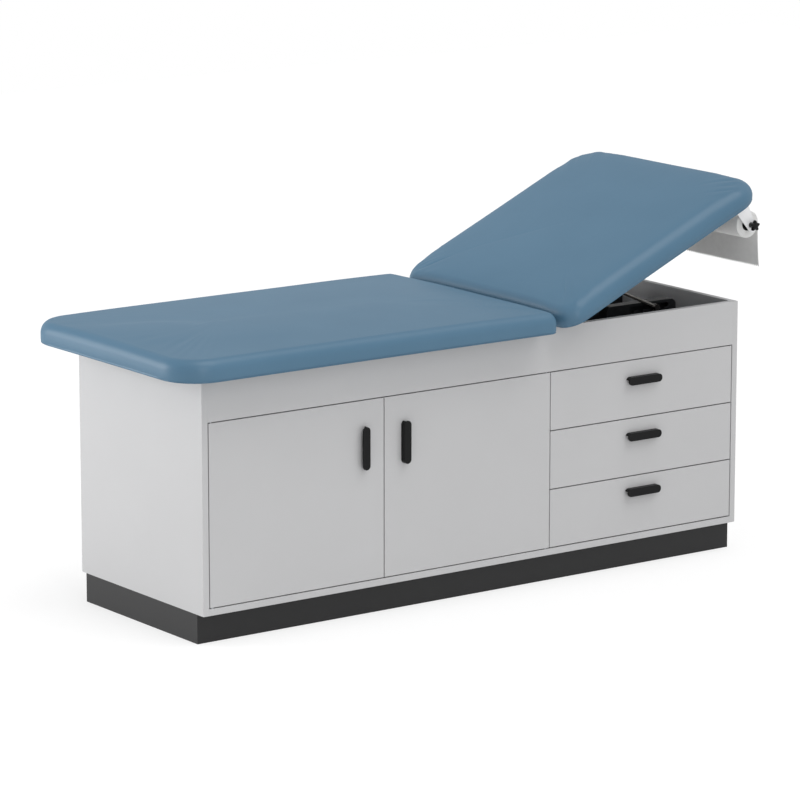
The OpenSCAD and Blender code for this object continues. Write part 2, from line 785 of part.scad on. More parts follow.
// Notched rail: a closed box with a foot flange. The stay's stud runs in the slot of its outer
// side, and the notches in the slot's lower edge hold it.
module rail_outline(inset) {
    round_rect(rail_foot_x + inset, rail_head_x - inset, well_z + inset, rail_top_z - inset,
               rail_corner_r - inset);
}
module rail_slot() {
    foot = stud_x(back_tilt_max) - slot_end_gap;
    head = stud_x(0) + slot_end_gap;
    translate([foot, hinge_z - slot_half_h]) square([head - foot, 2 * slot_half_h]);
    for (x = [foot, head]) translate([x, hinge_z]) circle(r = slot_half_h);
    for (a = notch_angles) translate([stud_x(a), hinge_z]) {
        translate([-slot_half_h, -notch_depth]) square([2 * slot_half_h, notch_depth]);
        translate([0, -notch_depth]) circle(r = slot_half_h);
    }
}
module notched_rail() {
    color(black_trim) {
        upright(rail_y, rail_t) difference() {
            rail_outline(0);
            rail_slot();
        }
        upright(rail_back_y + rail_back_t, rail_y - rail_back_y - rail_back_t) difference() {
            rail_outline(0);
            rail_outline(rail_t);
        }
        upright(rail_back_y, rail_back_t) rail_outline(0);
        board([rail_foot_x + rail_corner_r, rail_y, well_z],
              [rail_head_x - rail_corner_r, rail_y + rail_t + rail_flange_w, well_z + rail_t]);
    }
}
module front_notched_rail() {
    mirror([0, 1, 0]) notched_rail();
}
module rear_notched_rail() {
    notched_rail();
}

// Bolts of the rails and of the lugs, with low round heads
bolt_r = 5.5;
bolt_head_h = 3.5;
module frame_bolts() {
    bolt_inset = 2 * rail_corner_r;
    rail_bolt_x = [rail_foot_x + bolt_inset, (rail_foot_x + rail_head_x) / 2, rail_head_x - bolt_inset];
    bolt_y = rail_y + rail_t + rail_flange_w / 2;
    color(zinc) both_sides() {
        for (x = rail_bolt_x) translate([x, bolt_y, well_z + rail_t]) cylinder(r = bolt_r, h = bolt_head_h);
        for (side = [-1, 1])
            long_pin(header_head_x + lug_foot_t, header_head_x + lug_foot_t + bolt_head_h,
                     hinge_y + side * lug_foot_w / 3, (lug_foot_low_z + lug_foot_high_z) / 2, bolt_r);
    }
}

// Paper roll: two tapered bracket plates, a spindle with hubs, the roll, and the star knob
module at_roll() {
    on_backrest() translate([roll_along, 0, -roll_below]) children();
}
roll_bracket_top_w = 58;
roll_bracket_head = 15;
roll_bracket_low = 11;
module roll_bracket() {
    plate_z = hinge_drop + roll_below;
    flange_w = 32;
    tip_r = 13;
    tip_x = roll_bracket_head - tip_r;
    difference() {
        union() {
            upright(roll_bracket_y, roll_bracket_t) {
                polygon([
                    [roll_bracket_head - roll_bracket_top_w, plate_z],
                    [tip_x - tip_r * cos(17), -roll_bracket_low - tip_r * sin(17)],
                    [tip_x, -roll_bracket_low - tip_r / 2],
                    [roll_bracket_head, -roll_bracket_low], [roll_bracket_head, plate_z]
                ]);
                translate([tip_x, -roll_bracket_low]) circle(r = tip_r);
            }
            board([roll_bracket_head - roll_bracket_top_w, roll_bracket_y + roll_bracket_t - flange_w,
                   plate_z - roll_bracket_t],
                  [roll_bracket_head, roll_bracket_y + roll_bracket_t, plate_z]);
        }
        cross_bar(0, 0, journal_r + run_gap, roll_bracket_y, 4 * roll_bracket_t);
    }
}
module roll_brackets() {
    color(white_paint) at_roll() both_sides() roll_bracket();
}
module roll_spindle() {
    hub_l = 26;
    hub_side = roll_l / 2;
    journal_out = roll_bracket_y + roll_bracket_t;
    knob_grip = 6;
    far_l = 4;
    shoulder_r = journal_r + 3;
    knob_out = journal_out + knob_neck_t + knob_grip;
    far_out = journal_out + far_l;
    color(black_trim) at_roll() {
        cross_bar(0, 0, journal_r, 0, 2 * journal_out);
        cross_bar(0, 0, journal_end_r, (far_out - knob_out) / 2, knob_out + far_out);
        both_sides() cross_bar(0, 0, hub_r, hub_side - hub_l / 2, hub_l);
        both_sides() cross_bar(0, 0, shoulder_r, hub_side + (roll_gap - seat_gap) / 2,
                               roll_gap - seat_gap);
    }
}
module paper_roll() {
    color(paper_white) at_roll() difference() {
        cross_bar(0, 0, roll_r, 0, roll_l);
        cross_bar(0, 0, hub_r + press_gap, 0, roll_l + 2 * past);
    }
}
module star_knob() {
    lobes = 5;
    lobe_r = 6;
    neck_r = 8;
    neck_y = -(roll_bracket_y + roll_bracket_t + seat_gap);
    lobe_at = knob_d / 2 - lobe_r;
    bore_l = 14;
    color(black_trim) at_roll() difference() {
        union() {
            cross_bar(0, 0, neck_r, neck_y - knob_neck_t / 2, knob_neck_t);
            upright(neck_y - knob_neck_t - knob_t, knob_t) {
                circle(r = lobe_at);
                for (k = [0:lobes - 1]) rotate(90 + 360 * k / lobes)
                    translate([lobe_at, 0]) circle(r = lobe_r);
            }
        }
        cross_bar(0, 0, journal_end_r + run_gap, neck_y - bore_l / 2, bore_l + 2 * seat_gap);
    }
}

// The paper leaves the roll on its head side and hangs plumb, its lower end flaring out
module hanging_paper() {
    roll_x = hinge_x + roll_along * cos(back_tilt) + roll_below * sin(back_tilt);
    roll_z = hinge_z + roll_along * sin(back_tilt) - roll_below * cos(back_tilt);
    steps = 8;
    line = [for (k = [0:steps]) let (t = k / steps)
        [roll_x + roll_r + seat_gap + paper_flare * pow(t, 2.2), roll_z - paper_drop * t]];
    back = [for (k = [steps:-1:0]) line[k] + [paper_t, 0]];
    color(paper_white) upright(-roll_l / 2, roll_l) polygon(concat(line, back));
}

toe_board_front();
toe_board_rear();
toe_board_foot_end();
toe_board_head_end();
cross_bearer();
bottom_panel();
foot_end_panel();
head_end_panel();
back_panel();
front_rail();
centre_divider();
drawer_partition();
well_deck();
top_panel();
well_header();
left_shelf();
right_shelf();
shelf_supports();
door_catches();
door_pivot_pins();
left_door();
left_door_pull();
right_door();
right_door_pull();
drawer_front(0);  // top_drawer_front
drawer_box(0);  // top_drawer_box
drawer_bottom(0);  // top_drawer_bottom
drawer_pull(0);  // top_drawer_pull
inner_runners(0);  // top_drawer_inner_runners
middle_runners(0);  // top_drawer_middle_runners
drawer_front(1);  // centre_drawer_front
drawer_box(1);  // centre_drawer_box
drawer_bottom(1);  // centre_drawer_bottom
drawer_pull(1);  // centre_drawer_pull
inner_runners(1);  // centre_drawer_inner_runners
middle_runners(1);  // centre_drawer_middle_runners
drawer_front(2);  // low_drawer_front
drawer_box(2);  // low_drawer_box
drawer_bottom(2);  // low_drawer_bottom
drawer_pull(2);  // low_drawer_pull
inner_runners(2);  // low_drawer_inner_runners
middle_runners(2);  // low_drawer_middle_runners
outer_runners();
hinge_lugs();
front_notched_rail();
rear_notched_rail();
frame_bolts();
seat_board();
seat_cushion();
backrest_board();
backrest_cushion();
hinge_brackets();
stay_brackets();
pivot_pins();
stay_frame();
roll_brackets();
roll_spindle();
paper_roll();
star_knob();
hanging_paper();
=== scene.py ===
"""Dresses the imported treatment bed: finishes, upholstery, paper, floor, light and the camera."""

import json
import math

import bmesh
import bpy
from mathutils import Matrix, Vector

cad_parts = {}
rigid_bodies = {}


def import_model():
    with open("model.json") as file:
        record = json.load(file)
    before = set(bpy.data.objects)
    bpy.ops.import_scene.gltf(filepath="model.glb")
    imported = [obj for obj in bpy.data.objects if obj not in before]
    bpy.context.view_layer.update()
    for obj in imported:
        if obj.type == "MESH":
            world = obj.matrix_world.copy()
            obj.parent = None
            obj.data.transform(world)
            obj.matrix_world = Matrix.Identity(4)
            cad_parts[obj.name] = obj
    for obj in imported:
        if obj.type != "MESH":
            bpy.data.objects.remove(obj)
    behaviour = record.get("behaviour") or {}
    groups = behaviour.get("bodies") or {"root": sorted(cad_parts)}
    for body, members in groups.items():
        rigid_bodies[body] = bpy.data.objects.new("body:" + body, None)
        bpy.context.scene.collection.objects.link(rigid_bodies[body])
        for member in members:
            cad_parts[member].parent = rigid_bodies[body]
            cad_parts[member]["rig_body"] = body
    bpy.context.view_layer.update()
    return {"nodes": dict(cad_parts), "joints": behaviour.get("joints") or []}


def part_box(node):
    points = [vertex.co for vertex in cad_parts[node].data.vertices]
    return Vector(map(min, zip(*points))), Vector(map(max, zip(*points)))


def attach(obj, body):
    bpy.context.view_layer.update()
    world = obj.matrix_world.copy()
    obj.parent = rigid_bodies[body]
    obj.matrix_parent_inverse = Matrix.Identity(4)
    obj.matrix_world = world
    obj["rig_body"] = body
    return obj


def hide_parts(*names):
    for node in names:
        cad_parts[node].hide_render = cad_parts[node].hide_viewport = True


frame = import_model()

# The camera
# It stands far back from the corner between the doors and the foot end, with a long lens.
# Its place, bearing and lens were solved from the cabinet's edges in the photograph.
camera_place = (-6.814, -9.324, 2.941)
camera_bearing = math.radians(-35.94)
camera_drop = math.radians(11.97)
camera_lens = 193.2
camera = bpy.data.objects.new("camera", bpy.data.cameras.new("camera"))
camera.location = camera_place
camera.rotation_euler = (math.pi / 2 - camera_drop, 0, camera_bearing)
camera.data.lens = camera_lens
camera.data.sensor_width = 36
camera.data.clip_end = 60
bpy.context.scene.collection.objects.link(camera)
bpy.context.scene.camera = camera

# Laminated boards of the cabinet
# Particle board 18 mm thick, faced with a pale grey laminate and edged with a strip of the same.
# Every edge is eased by a fraction of a millimetre, so it catches a thin line of light.


def linear(red, green, blue):
    """A colour as it is seen, 0 to 255, in the form that a shader takes."""
    return tuple(((v / 255 + 0.055) / 1.055) ** 2.4 if v > 10 else v / 3294.6 for v in (red, green, blue))


gloss_drift = 0.04


def even_finish(name, colour, other_colour, gloss, tone_size, grain_size, grain_depth, metal=0.0, shine=0.3):
    """A finish that drifts between two colours, has a fine grain, and varies a little in its gloss."""
    material = bpy.data.materials.new(name)
    material.use_nodes = True
    nodes = material.node_tree.nodes
    links = material.node_tree.links
    shader = nodes["Principled BSDF"]
    shader.inputs["Metallic"].default_value = metal
    shader.inputs["Specular IOR Level"].default_value = shine
    place = nodes.new("ShaderNodeTexCoord").outputs["Object"]

    tone = nodes.new("ShaderNodeTexNoise")
    tone.inputs["Scale"].default_value = 1 / tone_size
    tone.inputs["Detail"].default_value = 5
    links.new(place, tone.inputs["Vector"])
    blend = nodes.new("ShaderNodeValToRGB")
    blend.color_ramp.elements[0].position = 0.3
    blend.color_ramp.elements[0].color = (*other_colour, 1)
    blend.color_ramp.elements[1].position = 0.7
    blend.color_ramp.elements[1].color = (*colour, 1)
    links.new(tone.outputs["Fac"], blend.inputs["Fac"])
    links.new(blend.outputs["Color"], shader.inputs["Base Color"])

    spread = nodes.new("ShaderNodeMapRange")
    spread.inputs["To Min"].default_value = gloss - gloss_drift
    spread.inputs["To Max"].default_value = gloss + gloss_drift
    links.new(tone.outputs["Fac"], spread.inputs["Value"])
    links.new(spread.outputs["Result"], shader.inputs["Roughness"])

    grain = nodes.new("ShaderNodeTexNoise")
    grain.inputs["Scale"].default_value = 1 / grain_size
    grain.inputs["Detail"].default_value = 3
    links.new(place, grain.inputs["Vector"])
    bump = nodes.new("ShaderNodeBump")
    bump.inputs["Distance"].default_value = grain_depth
    links.new(grain.outputs["Fac"], bump.inputs["Height"])
    links.new(bump.outputs["Normal"], shader.inputs["Normal"])
    return material


weld_distance = 0.00001
flat_angle = math.radians(0.5)
sharp_angle = math.radians(40)


def eased(node, material, edge=0.0008, steps=2):
    """A copy of a CAD node with its sharp edges eased, which stands for the node."""
    mesh = frame["nodes"][node].data.copy()
    mesh.materials.clear()
    mesh.materials.append(material)
    mesh.shade_smooth()
    piece = bpy.data.objects.new(node + "_piece", mesh)
    bpy.context.scene.collection.objects.link(piece)
    weld = piece.modifiers.new("weld", "WELD")
    weld.merge_threshold = weld_distance
    flat = piece.modifiers.new("one face per side", "DECIMATE")
    flat.decimate_type = "DISSOLVE"
    flat.angle_limit = flat_angle
    ease = piece.modifiers.new("eased edges", "BEVEL")
    ease.width = edge
    ease.segments = steps
    ease.limit_method = "ANGLE"
    ease.angle_limit = sharp_angle
    ease.harden_normals = True
    even = piece.modifiers.new("even shading", "WEIGHTED_NORMAL")
    even.keep_sharp = True
    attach(piece, frame["nodes"][node]["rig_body"])
    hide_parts(node)
    return piece


laminate = even_finish(
    "pale grey laminate", linear(192, 192, 193), linear(190, 190, 191),
    gloss=0.46, tone_size=0.25, grain_size=0.0009, grain_depth=0.00004,
)
cabinet_boards = (
    "foot_end_panel", "head_end_panel", "back_panel", "front_rail", "bottom_panel", "centre_divider",
    "drawer_partition", "well_deck", "top_panel", "well_header", "left_shelf", "right_shelf",
    "left_door", "right_door", "top_drawer_front", "centre_drawer_front", "low_drawer_front",
)
for name in cabinet_boards:
    eased(name, laminate)

# Plinth
# Toe boards faced with a matt black laminate, mitred at the corners and set back under the front.
# A board across the middle carries the bottom panel.
plinth_black = even_finish(
    "matt black laminate", linear(27, 27, 28), linear(24, 24, 25),
    gloss=0.42, tone_size=0.12, grain_size=0.0008, grain_depth=0.00006, shine=0.35,
)
plinth_edge = 0.0005
for name in (
    "toe_board_front", "toe_board_rear", "toe_board_foot_end", "toe_board_head_end", "cross_bearer"
):
    eased(name, plinth_black, plinth_edge)

# Pulls of the doors and drawers
# Moulded in black plastic: a round-ended front plate on a curved wall and two posts, open on one side.
# Two screws from inside hold each.
black_plastic = even_finish(
    "black moulded plastic", linear(18, 18, 19), linear(16, 16, 17),
    gloss=0.42, tone_size=0.02, grain_size=0.0005, grain_depth=0.00005, shine=0.15,
)
pull_edge = 0.0013
pull_edge_steps = 4
for name in ("left_door", "right_door", "top_drawer", "centre_drawer", "low_drawer"):
    eased(name + "_pull", black_plastic, pull_edge, pull_edge_steps)

# Drawer boxes
# Birch plywood sides and a thin plywood bottom that slides in a groove.


def wood_finish(name, colour, grain_colour, along, gloss):
    """Planed wood with its grain along one axis, in long streaks that also roughen the surface."""
    material = bpy.data.materials.new(name)
    material.use_nodes = True
    nodes = material.node_tree.nodes
    links = material.node_tree.links
    shader = nodes["Principled BSDF"]
    shader.inputs["Roughness"].default_value = gloss
    place = nodes.new("ShaderNodeTexCoord").outputs["Object"]
    stretch = nodes.new("ShaderNodeMapping")
    stretch.inputs["Scale"].default_value = tuple(1.5 if axis == along else 45 for axis in "XYZ")
    links.new(place, stretch.inputs["Vector"])
    streaks = nodes.new("ShaderNodeTexNoise")
    streaks.inputs["Scale"].default_value = 3
    streaks.inputs["Detail"].default_value = 8
    streaks.inputs["Distortion"].default_value = 0.6
    links.new(stretch.outputs["Vector"], streaks.inputs["Vector"])
    blend = nodes.new("ShaderNodeValToRGB")
    blend.color_ramp.elements[0].position = 0.35
    blend.color_ramp.elements[0].color = (*grain_colour, 1)
    blend.color_ramp.elements[1].position = 0.65
    blend.color_ramp.elements[1].color = (*colour, 1)
    links.new(streaks.outputs["Fac"], blend.inputs["Fac"])
    links.new(blend.outputs["Color"], shader.inputs["Base Color"])
    bump = nodes.new("ShaderNodeBump")
    bump.inputs["Distance"].default_value = 0.00012
    links.new(streaks.outputs["Fac"], bump.inputs["Height"])
    links.new(bump.outputs["Normal"], shader.inputs["Normal"])
    return material


birch = wood_finish("birch plywood", linear(214, 188, 150), linear(196, 166, 126), along="X", gloss=0.5)
drawer_box_edge = 0.0006
drawer_bottom_edge = 0.0003
for name in ("top_drawer", "centre_drawer", "low_drawer"):
    eased(name + "_box", birch, drawer_box_edge)
    eased(name + "_bottom", birch, drawer_bottom_edge)

# Runners, catches, pivots and shelf supports
# Zinc-plated steel, rolled or pressed, bright with a faint drift in tone. The catches are black plastic.
zinc = even_finish(
    "zinc plating", linear(176, 178, 182), linear(156, 158, 163),
    gloss=0.34, tone_size=0.01, grain_size=0.0006, grain_depth=0.00003, metal=1.0, shine=0.5,
)
rolled_edge = 0.0002
pressed_edge = 0.0003
for drawer in ("top_drawer", "centre_drawer", "low_drawer"):
    eased(drawer + "_inner_runners", zinc, rolled_edge, steps=1)
    eased(drawer + "_middle_runners", zinc, rolled_edge, steps=1)
for name in ("outer_runners", "shelf_supports", "door_pivot_pins"):
    eased(name, zinc, pressed_edge)
eased("door_catches", black_plastic)

# Frame bolts
# Zinc-plated button heads with a hexagon socket, one where each bolt of the CAD model stands.
# They hold the rails to the well's floor and the hinge lugs to the cross board.


def linked(name, points, faces, material):
    """A mesh of points and faces, smooth, in the scene."""
    mesh = bpy.data.meshes.new(name)
    mesh.from_pydata(points, [], faces)
    mesh.materials.append(material)
    mesh.shade_smooth()
    piece = bpy.data.objects.new(name, mesh)
    bpy.context.scene.collection.objects.link(piece)
    return piece


def solid_boxes(node):
    """The lowest and highest corner of each separate solid in a CAD node, in the order of the lowest."""
    mesh = bmesh.new()
    mesh.from_mesh(frame["nodes"][node].data)
    bmesh.ops.remove_doubles(mesh, verts=mesh.verts, dist=weld_distance)
    left = set(mesh.verts)
    boxes = []
    while left:
        reached = [left.pop()]
        solid = []
        while reached:
            vertex = reached.pop()
            solid.append(vertex.co.copy())
            for edge in vertex.link_edges:
                other = edge.other_vert(vertex)
                if other in left:
                    left.remove(other)
                    reached.append(other)
        low, high = (Vector([pick(v[axis] for v in solid) for axis in range(3)]) for pick in (min, max))
        boxes.append((low, high))
    mesh.free()
    return sorted(boxes, key=lambda box: tuple(box[0]))


head_around = 36
head_profile = ((0.98, 0.0), (1.0, 0.12), (0.96, 0.42), (0.86, 0.70), (0.72, 0.88), (0.60, 0.97))
socket_depths = (0.98, 0.9, 0.4)
socket_share = 0.46


def button_heads(name, feet, facing, radius, height, material):
    """Round screw heads with a hexagon socket, standing on their feet and facing one way."""
    turn = Vector(facing).to_track_quat("Z", "Y")
    turns = [360 * k / head_around for k in range(head_around)]
    hexagon = [socket_share * radius / math.cos(math.radians((a + 30) % 60 - 30)) for a in turns]
    rings = [[(radius * r, a, height * z) for a in turns] for r, z in head_profile]
    rings += [[(r, a, height * depth) for r, a in zip(hexagon, turns)] for depth in socket_depths]
    points = []
    faces = []
    for foot in feet:
        first = len(points)
        for ring in rings:
            for r, angle, z in ring:
                place = Vector((r * math.cos(math.radians(angle)), r * math.sin(math.radians(angle)), z))
                points.append(Vector(foot) + turn @ place)
        for r in range(len(rings) - 1):
            low = first + r * head_around
            for i in range(head_around):
                j = (i + 1) % head_around
                faces.append((low + i, low + j, low + head_around + j, low + head_around + i))
        last = first + (len(rings) - 1) * head_around
        faces.append(tuple(first + i for i in range(head_around))[::-1])
        faces.append(tuple(last + i for i in range(head_around)))
    return linked(name, points, faces, material)


bolt_radius = 0.0055
bolt_height = 0.0035
rail_bolt_feet = []
lug_bolt_feet = []
for low, high in solid_boxes("frame_bolts"):
    middle = (low + high) / 2
    if high.z - low.z < high.x - low.x:
        rail_bolt_feet.append((middle.x, middle.y, low.z))
    else:
        lug_bolt_feet.append((low.x, middle.y, middle.z))
for name, feet, facing in (
    ("rail_bolts", rail_bolt_feet, (0, 0, 1)),
    ("lug_bolts", lug_bolt_feet, (1, 0, 0)),
):
    bolts = button_heads(name, feet, facing, bolt_radius, bolt_height, zinc)
    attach(bolts, "cabinet")
    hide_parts("frame_bolts")

# Screws of the pulls
# Zinc-plated button heads inside the doors and the drawer boxes, two to a pull. They go through the
# board into the two posts, which stand near the pull's wall.
screw_radius = 0.0045
screw_height = 0.0024
post_inset = 0.01125
post_rise = 0.0045
drawer_wall = 0.012


def pull_screws(carrier, inside_y, post_feet):
    """The two screws of a pull, on the face that lies inside_y deep and looks to the back."""
    feet = [(x, inside_y, z) for x, z in post_feet]
    screws = button_heads(carrier + "_pull_screws", feet, (0, 1, 0), screw_radius, screw_height, zinc)
    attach(screws, frame["nodes"][carrier + "_pull"]["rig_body"])


for carrier, to_wall in (("left_door", 1), ("right_door", -1)):
    low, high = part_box(carrier + "_pull")
    post_x = (low.x + high.x) / 2 + to_wall * post_rise
    pull_screws(
        carrier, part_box(carrier)[1].y, [(post_x, low.z + post_inset), (post_x, high.z - post_inset)]
    )
for carrier in ("top_drawer", "centre_drawer", "low_drawer"):
    low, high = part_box(carrier + "_pull")
    post_z = (low.z + high.z) / 2 + post_rise
    pull_screws(
        carrier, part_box(carrier + "_box")[0].y + drawer_wall,
        [(low.x + post_inset, post_z), (high.x - post_inset, post_z)],
    )

# Frame of the backrest
# Steel lugs and brackets in satin black paint, a stay bent from drawn rod that is only oiled, and
# the notched rails in the well, also painted.
black_paint = even_finish(
    "satin black paint", linear(40, 41, 43), linear(34, 35, 37),
    gloss=0.42, tone_size=0.03, grain_size=0.0012, grain_depth=0.00005, shine=0.05,
)
drawn_steel = even_finish(
    "oiled drawn steel", linear(128, 125, 122), linear(108, 106, 103),
    gloss=0.17, tone_size=0.01, grain_size=0.0008, grain_depth=0.00004, metal=1.0, shine=0.5,
)
forged_edge = 0.0004
rail_edge = 0.0006
pin_edge = 0.0007
for name in ("hinge_lugs", "hinge_brackets", "stay_brackets"):
    eased(name, black_paint, forged_edge)
eased("stay_frame", drawn_steel, forged_edge)
eased("pivot_pins", zinc, pin_edge, steps=3)
for name in ("front_notched_rail", "rear_notched_rail"):
    eased(name, black_paint, rail_edge)

# Cushions
# Blue vinyl drawn over a block of foam and stapled under its plywood board, with no seams.
# The foam is crowned, its top edges are softly rolled, and its sides draw in between the corners.


def loft(name, rings, material):
    """A closed form through rings of points, with a flat face over the first and the last."""
    count = len(rings[0])
    points = [point for ring in rings for point in ring]
    faces = []
    for r in range(len(rings) - 1):
        for i in range(count):
            j = (i + 1) % count
            faces.append((r * count + i, r * count + j, (r + 1) * count + j, (r + 1) * count + i))
    faces.append(tuple(range(count))[::-1])
    faces.append(tuple((len(rings) - 1) * count + i for i in range(count)))
    return linked(name, points, faces, material)


corner_steps = 16


def cushion_outline(low_x, high_x, half_width, foot_corner, head_corner, long_steps, cross_steps, side_draw):
    """Points round the cushion with the direction that faces out at each: x, y, out x, out y."""
    corners = (
        (high_x - head_corner, half_width - head_corner, head_corner, 0),
        (low_x + foot_corner, half_width - foot_corner, foot_corner, 90),
        (low_x + foot_corner, foot_corner - half_width, foot_corner, 180),
        (high_x - head_corner, head_corner - half_width, head_corner, 270),
    )
    arcs = []
    for x, y, radius, start in corners:
        angles = [math.radians(start + 90 * k / corner_steps) for k in range(corner_steps + 1)]
        arcs.append([
            (x + radius * math.cos(a), y + radius * math.sin(a), math.cos(a), math.sin(a)) for a in angles
        ])
    outline = []
    for arc, following, side_steps in zip(arcs, arcs[1:] + arcs[:1], (long_steps, cross_steps) * 2):
        outline += arc
        start, end = arc[-1], following[0]
        for k in range(1, side_steps):
            t = k / side_steps
            draw = side_draw * math.sin(math.pi * t)
            outline.append((
                start[0] + (end[0] - start[0]) * t - draw * start[2],
                start[1] + (end[1] - start[1]) * t - draw * start[3],
                start[2], start[3],
            ))
    return outline


side_draw = 0.002
point_spacing = 0.013
hem_inset = 0.066
hem_thickness = 0.001
hem_corner = 0.020
hem_shares = (0.7, 0.4, 0.15)
fold_shares = (0.97, 0.8, 0.6, 0.4, 0.2)
pleat_depth = 0.0008
pleat_reach = 1.15
under_steps = 8
roll_steps = 13
crown_shares = (0.03, 0.07, 0.12, 0.18, 0.25, 0.33, 0.42, 0.52, 0.63, 0.75, 0.88)


def cushion_rings(low_x, high_x, half_width, thickness, foot_corner, head_corner, edge, crown, corner_dip):
    """Rings from the middle of the underside, over the stapled hem and the rolled edge, to the crown.
    An edge is the underside's radius, then how far in and how far down its top roll reaches.
    The corner dip is the share of the height that the cover pulls out of each corner."""
    under, reach, drop = edge
    middle_x = (low_x + high_x) / 2
    half_length = (high_x - low_x) / 2
    long_steps = round((high_x - low_x - foot_corner - head_corner) / point_spacing)
    cross_steps = round((2 * half_width - 2 * foot_corner) / point_spacing)
    outline = cushion_outline(
        low_x, high_x, half_width, foot_corner, head_corner, long_steps, cross_steps, side_draw
    )
    hem = cushion_outline(
        low_x + hem_inset, high_x - hem_inset, half_width - hem_inset,
        max(foot_corner - hem_inset, hem_corner), max(head_corner - hem_inset, hem_corner),
        long_steps, cross_steps, 0,
    )

    def inward(distance, height):
        return [(x - distance * out_x, y - distance * out_y, height) for x, y, out_x, out_y in outline]

    def gathered(ring, share, height):
        return [
            (x + (min(max(x, low_x + half_width), high_x - half_width) - x) * share, y * (1 - share), height)
            for x, y, z in ring
        ]

    def crown_height(x, y):
        along = (x - middle_x) / (half_length - reach)
        across = y / (half_width - reach)
        return crown * (1 - along ** 4) * (1 - across ** 2)

    def crowned(share):
        """The cover's top, a smooth dome that starts level with the rolled edge."""
        start = inward(reach, thickness)
        return [
            (x, y, z + crown_height(x, y) - crown_height(start_x, start_y) * (1 - share) ** 2)
            for (x, y, z), (start_x, start_y, _) in zip(gathered(start, share, thickness), start)
        ]

    def between(share):
        """The hem's folded skin, from the rolled edge to the cut edge, pleated at the corners."""
        ring = []
        for i, ((x, y, out_x, out_y), (hem_x, hem_y, _, _)) in enumerate(zip(outline, hem)):
            start_x, start_y = x - under * out_x, y - under * out_y
            on_corner = min(1, 4 * abs(out_x * out_y))
            pleat = pleat_depth * on_corner * (i % 2) * math.sin(math.pi * min(1, share * pleat_reach))
            ring.append((start_x + (hem_x - start_x) * share, start_y + (hem_y - start_y) * share, -pleat))
        return ring

    def fallen(x, y, z):
        dip = corner_dip * ((x - middle_x) / half_length) ** 6 * (y / half_width) ** 4
        return x, y, z * (1 - dip)

    under_angles = [math.radians(90 * k / under_steps) for k in range(under_steps + 1)]
    top_angles = [math.radians(90 * k / roll_steps) for k in range(1, roll_steps + 1)]
    cut_edge = [(x, y, 2 * hem_thickness) for x, y, _, _ in hem]
    rings = [gathered(cut_edge, share, 2 * hem_thickness) for share in hem_shares]
    rings += [cut_edge, [(x, y, 0.3 * hem_thickness) for x, y, _ in cut_edge]]
    rings += [between(share) for share in fold_shares]
    rings += [inward(under * (1 - math.sin(a)), under * (1 - math.cos(a))) for a in under_angles]
    rings += [inward(reach * (1 - math.cos(a)), thickness - drop + drop * math.sin(a)) for a in top_angles]
    rings += [crowned(share) for share in crown_shares]
    return [[fallen(*point) for point in ring] for ring in rings]


stapled_height = 0.004
most_swelling = 0.004
swelling_pressure = 4
swelling_steps = 20


def settle(piece):
    """Lets the cover swell over its foam, with the stapled underside held still. No point ends
    further from the drawn form than the most swelling."""
    held = piece.vertex_groups.new(name="stapled underside")
    held.add([v.index for v in piece.data.vertices if v.co.z < stapled_height], 1.0, "REPLACE")
    drawn = [v.co.copy() for v in piece.data.vertices]
    cover = piece.modifiers.new("cover", "CLOTH")
    cover.settings.use_pressure = True
    cover.settings.uniform_pressure_force = swelling_pressure
    cover.settings.effector_weights.gravity = 0
    cover.settings.vertex_group_mass = held.name
    for step in range(1, swelling_steps + 1):
        bpy.context.scene.frame_set(step)
    swollen = piece.evaluated_get(bpy.context.evaluated_depsgraph_get()).data
    for vertex, place, start in zip(piece.data.vertices, swollen.vertices, drawn):
        move = place.co - start
        vertex.co = start + move * min(1, most_swelling / max(move.length, most_swelling))
    piece.modifiers.remove(cover)
    bpy.context.scene.frame_set(1)


def vinyl_finish():
    """Upholstery vinyl: a satin blue skin with a fine leather grain and a slow change in tone."""
    material = bpy.data.materials.new("blue upholstery vinyl")
    material.use_nodes = True
    nodes = material.node_tree.nodes
    links = material.node_tree.links
    shader = nodes["Principled BSDF"]
    shader.inputs["Specular IOR Level"].default_value = 0.0
    shader.inputs["Coat Weight"].default_value = 0.4
    shader.inputs["Coat IOR"].default_value = 1.7
    shader.inputs["Coat Roughness"].default_value = 0.38
    place = nodes.new("ShaderNodeTexCoord").outputs["Object"]
    tone = nodes.new("ShaderNodeTexNoise")
    tone.inputs["Scale"].default_value = 6
    tone.inputs["Detail"].default_value = 4
    links.new(place, tone.inputs["Vector"])
    blend = nodes.new("ShaderNodeValToRGB")
    blend.color_ramp.elements[0].position = 0.3
    blend.color_ramp.elements[0].color = (*linear(76, 111, 135), 1)
    blend.color_ramp.elements[1].position = 0.7
    blend.color_ramp.elements[1].color = (*linear(79, 114, 138), 1)
    links.new(tone.outputs["Fac"], blend.inputs["Fac"])
    links.new(blend.outputs["Color"], shader.inputs["Base Color"])
    spread = nodes.new("ShaderNodeMapRange")
    spread.inputs["To Min"].default_value = 0.27
    spread.inputs["To Max"].default_value = 0.33
    links.new(tone.outputs["Fac"], spread.inputs["Value"])
    links.new(spread.outputs["Result"], shader.inputs["Roughness"])
    pebbles = nodes.new("ShaderNodeTexVoronoi")
    pebbles.inputs["Scale"].default_value = 620
    pebbles.inputs["Randomness"].default_value = 0.9
    links.new(place, pebbles.inputs["Vector"])
    bump = nodes.new("ShaderNodeBump")
    bump.inputs["Strength"].default_value = 0.5
    bump.inputs["Distance"].default_value = 0.00008
    links.new(pebbles.outputs["Distance"], bump.inputs["Height"])
    links.new(bump.outputs["Normal"], shader.inputs["Normal"])
    return material


